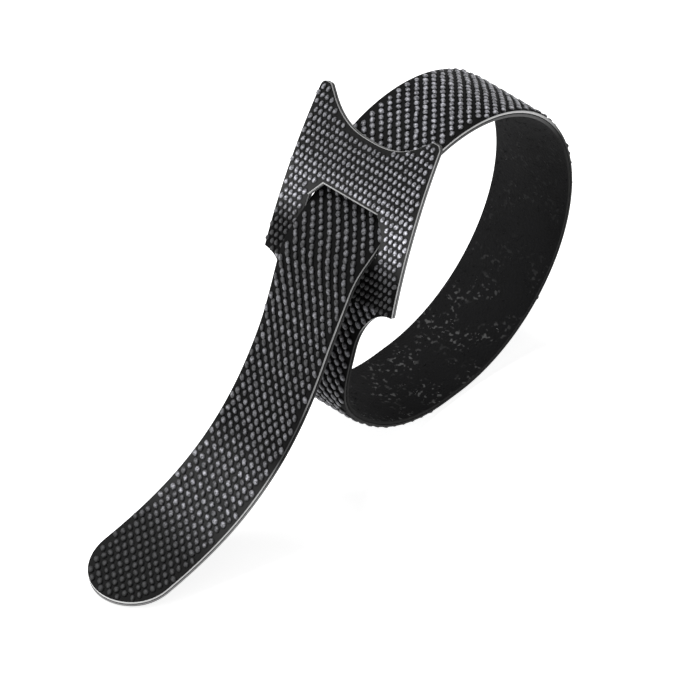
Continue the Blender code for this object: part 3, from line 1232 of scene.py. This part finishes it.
@dataclass
class SlotLip:
    """The welt that the strap's pull turns up along the slot's top edge and a cut corner."""

    name: str
    low: float
    high: float
    width: float
    finish: CutEdge
    bend_step: float = 0.5 * MM
    rounding: float = 0.4
    crease: float = 50.0

    def build(self, pattern: Pattern, route: Route) -> bpy.types.Object:
        """Lay the welt as a narrow rounded strip.

        Args:
            pattern: Sizes of the flat tie.
            route: The line that the tape follows.

        Returns:
            The welt.
        """
        rim = pattern.snug_slot()
        outer = pattern.snug_slot(-self.width)
        # Points 0 and 5 end the slot's top edge, and 1 is the foot of one cut corner.
        covered = [1, 0, 5]
        ring = np.vstack([rim[covered], outer[covered][::-1]])
        strip = cut_sheet(self.name, ring, self.low, self.high)
        soften_rims(strip, self.rounding * (self.high - self.low))
        slice_across(strip, outer[0, 1], rim[1, 1], self.bend_step)
        return dress(strip, (self.finish,), route, self.crease)


@dataclass
class PileField:
    """Loops of thread on the inner face."""

    name: str
    foot: float
    loop_radius: float
    thread: float
    count: int
    finish: PileThread
    sizes: tuple[float, float] = (0.6, 1.0)
    crease: float = 180.0
    seed: int = 23

    def _loop(self) -> bpy.types.Object:
        """Model one loop of thread: half a ring that stands on the web, pointing down.

        Returns:
            The loop, with its foot at the origin.
        """
        deselect_all()
        bpy.ops.mesh.primitive_torus_add(major_radius=self.loop_radius,
                                         minor_radius=self.thread / 2.0,
                                         major_segments=12, minor_segments=3,
                                         rotation=(math.pi / 2.0, 0.0, 0.0))
        loop = bpy.context.object
        bpy.ops.object.transform_apply(location=False, rotation=True, scale=False)
        with editing(loop):
            bpy.ops.mesh.select_all(action="SELECT")
            bpy.ops.mesh.bisect(plane_co=(0.0, 0.0, 0.0), plane_no=(0.0, 0.0, 1.0),
                                clear_outer=True)
        return loop

    def build(self, pattern: Pattern, route: Route) -> bpy.types.Object:
        """Set the loops at random and bend them with the tape.

        Args:
            pattern: Sizes of the flat tie.
            route: The line that the tape follows.

        Returns:
            The pile.
        """
        random = np.random.default_rng(self.seed)
        half = pattern.head_width / 2.0
        low = np.array([-half, 0.0])
        high = np.array([half, route.total])
        # Twice as many as needed, because some fall beside the strap.
        spots = random.uniform(low, high, (self.count * 2, 2))
        inside = depth_inside(spots, pattern.outline(route.total)) > self.loop_radius
        clear = depth_inside(spots, pattern.slot()) < -self.loop_radius
        spots = spots[inside & clear][:self.count]
        count = len(spots)
        places = np.column_stack([spots, np.full(count, self.foot)])
        turns = random.uniform(0.0, math.pi, count)
        sizes = np.repeat(random.uniform(*self.sizes, count)[:, None], 3, axis=1)
        pile = repeat(self.name, self._loop(), places, turns, sizes)
        return dress(pile, (self.finish,), route, self.crease)


Piece = Web | SlotLip | HookField | PileField


@dataclass
class Tie:
    """The whole tie: two webs welded back to back, hooks outside and pile inside."""

    pattern: Pattern = field(default_factory=Pattern)

    def __post_init__(self) -> None:
        """Lay out the route."""
        self.route = Route(self.pattern)

    def _webs(self) -> list[Piece]:
        """Set out the two webs, the weld between them and the welt at the slot.

        Returns:
            The pieces, not built yet.
        """
        # The pale tones of the cut edges are painted highlights.
        hook_edge = CutEdge("cut_hook_web", pale=0.62, dull=0.010)
        weld_edge = CutEdge("weld_line_edge", pale=0.03, dull=0.01, roughness=0.7)
        pile_edge = CutEdge("cut_pile_web", pale=0.24, dull=0.006, roughness=0.6, painted_light=in_mm(
            (0, 0.4), (6, 0.9), (25, 0.9), (28, 0.0), (106, 0.0), (114, 0.5), (136, 0.5),
            (146, 0.15), (177, 0.05), (181, 1.0), (204, 1.0)))
        # The welt's pale tone is a painted highlight along the slot's top edge.
        lip_edge = CutEdge("slot_lip_edge", pale=0.55, dull=0.10)
        return [
            Web("hook_web", low=-0.06 * MM, high=0.30 * MM, inset=0.0, face=WebNylon(),
                edge=hook_edge, rim=0.10 * MM),
            Web("weld_line", low=-0.18 * MM, high=0.0, inset=0.09 * MM,
                face=WebNylon("weld_line_face"), edge=weld_edge, rim=0.01 * MM),
            Web("pile_web", low=-0.54 * MM, high=-0.14 * MM, inset=0.0, face=PileKnit(),
                edge=pile_edge),
            SlotLip("slot_lip", low=0.24 * MM, high=0.38 * MM, width=0.17 * MM, finish=lip_edge),
        ]

    def _nap(self) -> list[Piece]:
        """Set out the hooks of strap and head, and the loops of the pile.

        Returns:
            The pieces, not built yet.
        """
        head_nylon = HookNylon(
            "head_hook_nylon", crest_highlight=0.80, crest_highlight_power=1.8,
            # Painted light and shade on the head: brightest beside the slot, near black in the
            # shade under the tail; lit adds painted light across it.
            painted_light=in_mm((0, 0.45), (5, 0.45), (9, 0.60), (12, 1.0), (15.5, 1.0), (17.5, 0.30),
                         (19, 0.08), (24, 0.02)),
            odd_rows=in_mm((0, 0.0), (24, 0.0)),
            lit=in_mm((-11, 1.0), (-4, 0.80), (4, 0.60), (11, 0.75)))
        strap_drift = in_mm((134, -0.66 * MM), (148, -0.58 * MM), (156, -0.42 * MM),
                            (166, -0.60 * MM), (175, -0.86 * MM), (184, -0.98 * MM))
        return [
            HookField("strap_hooks", Ground.STRAP, foot=0.28 * MM, width=0.74 * MM,
                      height=0.29 * MM, length=1.08 * MM, column_pitch=1.27 * MM,
                      row_pitch=0.85 * MM, sideways=strap_drift, finish=HookNylon(),
                      row_slant=in_mm((130, 0.16), (150, 0.12), (160, 0.03), (176, 0.05),
                                      (184, 0.18))),
            HookField("head_hooks", Ground.HEAD, foot=0.28 * MM, width=0.58 * MM,
                      height=0.28 * MM, length=0.90 * MM, column_pitch=0.75 * MM,
                      row_pitch=1.02 * MM, sideways=in_mm((0, 0.445 * MM)), finish=head_nylon,
                      row_slant=in_mm((0, 0.0))),
            PileField("pile_loops", foot=-0.40 * MM, loop_radius=0.20 * MM, thread=0.09 * MM,
                      count=4600, finish=PileThread()),
        ]

    def build(self) -> list[bpy.types.Object]:
        """Make every piece and tie it to the CAD part.

        Returns:
            The pieces.
        """
        made = []
        for part in self._webs() + self._nap():
            piece = part.build(self.pattern, self.route)
            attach(piece, BODY)
            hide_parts(NODE)
            made.append(piece)
            log.info("%s: %d faces", piece.name, len(piece.data.polygons))
        self._declare()
        return made

    def _declare(self) -> None:
        """State the size that the tape was cut to.
        """
        outline = self.pattern.outline(self.route.total)
        area = shape_area(outline) - shape_area(self.pattern.slot())
        flat = (self.pattern.head_width, self.route.total)
        log.info("flat size %.1f x %.1f mm, area %.0f mm2",
                 flat[0] / MM, flat[1] / MM, area / MM ** 2)


def shape_area(outline: np.ndarray) -> float:
    """Area inside an outline."""
    after = np.roll(outline, -1, axis=0)
    return float(abs((outline[:, 0] * after[:, 1] - outline[:, 1] * after[:, 0]).sum()) / 2.0)


# ---------------------------------------------------------------------------
# Studio
# ---------------------------------------------------------------------------


def facing(azimuth: float, elevation: float) -> Vector:
    """Unit vector from the object towards a light or the camera.

    Args:
        azimuth: Degrees round from the front.
        elevation: Degrees above the floor.

    Returns:
        The vector.
    """
    turn = math.radians(azimuth)
    rise = math.radians(elevation)
    return Vector((math.sin(turn) * math.cos(rise), -math.cos(turn) * math.cos(rise),
                   math.sin(rise)))


@dataclass(frozen=True)
class Softbox:
    """One soft light."""

    name: str
    azimuth: float
    elevation: float
    distance: float
    size: float
    power: float

    def build(self, target: Vector) -> None:
        """Set the light so that it faces the target.

        Args:
            target: The point that it faces.
        """
        deselect_all()
        away = facing(self.azimuth, self.elevation)
        bpy.ops.object.light_add(type="AREA", location=target + away * self.distance,
                                 rotation=away.to_track_quat("Z", "Y").to_euler())
        light = bpy.context.object
        light.name = self.name
        light.data.shape = "DISK"
        light.data.size = self.size
        light.data.energy = self.power


@dataclass(frozen=True)
class Studio:
    """Pale floor, soft lights and the camera."""

    azimuth: float = 41.8
    elevation: float = 41.3
    distance: float = 3.0
    frame_width: float = 84.35 * MM
    aim_right: float = 1.81 * MM
    aim_up: float = 13.47 * MM
    sensor: float = 36.0
    floor_size: float = 3.0
    room_light: float = 0.22
    lit_height: float = 20.0 * MM
    lights: tuple[Softbox, ...] = (Softbox("key_light", -66.0, 60.0, 0.9, 0.30, 4.4),
                                   Softbox("top_light", -117.0, 56.0, 0.9, 0.30, 2.4),
                                   Softbox("front_light", -30.0, 15.0, 0.9, 0.5, 3.0))

    def aim(self) -> Vector:
        """Find the point that the middle of the picture shows.

        Returns:
            The point.
        """
        turn = math.radians(self.azimuth)
        rise = math.radians(self.elevation)
        right = Vector((math.cos(turn), math.sin(turn), 0.0))
        up = Vector((-math.sin(turn) * math.sin(rise), math.cos(turn) * math.sin(rise),
                     math.cos(rise)))
        return right * self.aim_right + up * self.aim_up

    def camera(self) -> None:
        """Set up the camera with a long lens."""
        deselect_all()
        place = self.aim() + facing(self.azimuth, self.elevation) * self.distance
        tilt = math.radians(90.0 - self.elevation)
        bpy.ops.object.camera_add(location=place,
                                  rotation=(tilt, 0.0, math.radians(self.azimuth)))
        camera = bpy.context.object
        camera.data.sensor_width = self.sensor
        camera.data.lens = self.sensor * self.distance / self.frame_width
        bpy.context.scene.camera = camera

    def floor(self) -> None:
        """Lay the floor."""
        deselect_all()
        bpy.ops.mesh.primitive_plane_add(size=self.floor_size, location=(0.0, 0.0, 0.0))
        floor = bpy.context.object
        floor.name = "floor"
        floor.data.materials.append(FloorPaper().material())

    def world(self) -> None:
        """Light the room evenly and show the light as it is."""
        world = bpy.data.worlds.new("room")
        world.use_nodes = True
        background = world.node_tree.nodes["Background"]
        background.inputs["Color"].default_value = (1.0, 1.0, 1.0, 1.0)
        background.inputs["Strength"].default_value = self.room_light
        bpy.context.scene.world = world
        bpy.context.scene.view_settings.view_transform = "Standard"

    def build(self) -> None:
        """Set up the whole studio."""
        self.floor()
        self.world()
        for light in self.lights:
            light.build(Vector((0.0, 0.0, self.lit_height)))
        self.camera()


def corners(box: Any) -> list[list[float]]:
    """A box's corners as plain lists."""
    return [[float(value) for value in corner] for corner in box]


def main() -> None:
    """Build the tie and the studio."""
    logging.basicConfig(level=logging.INFO, format="%(name)s: %(message)s")
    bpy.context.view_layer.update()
    Tie().build()
    Studio().build()


if __name__ == "__main__":
    main()
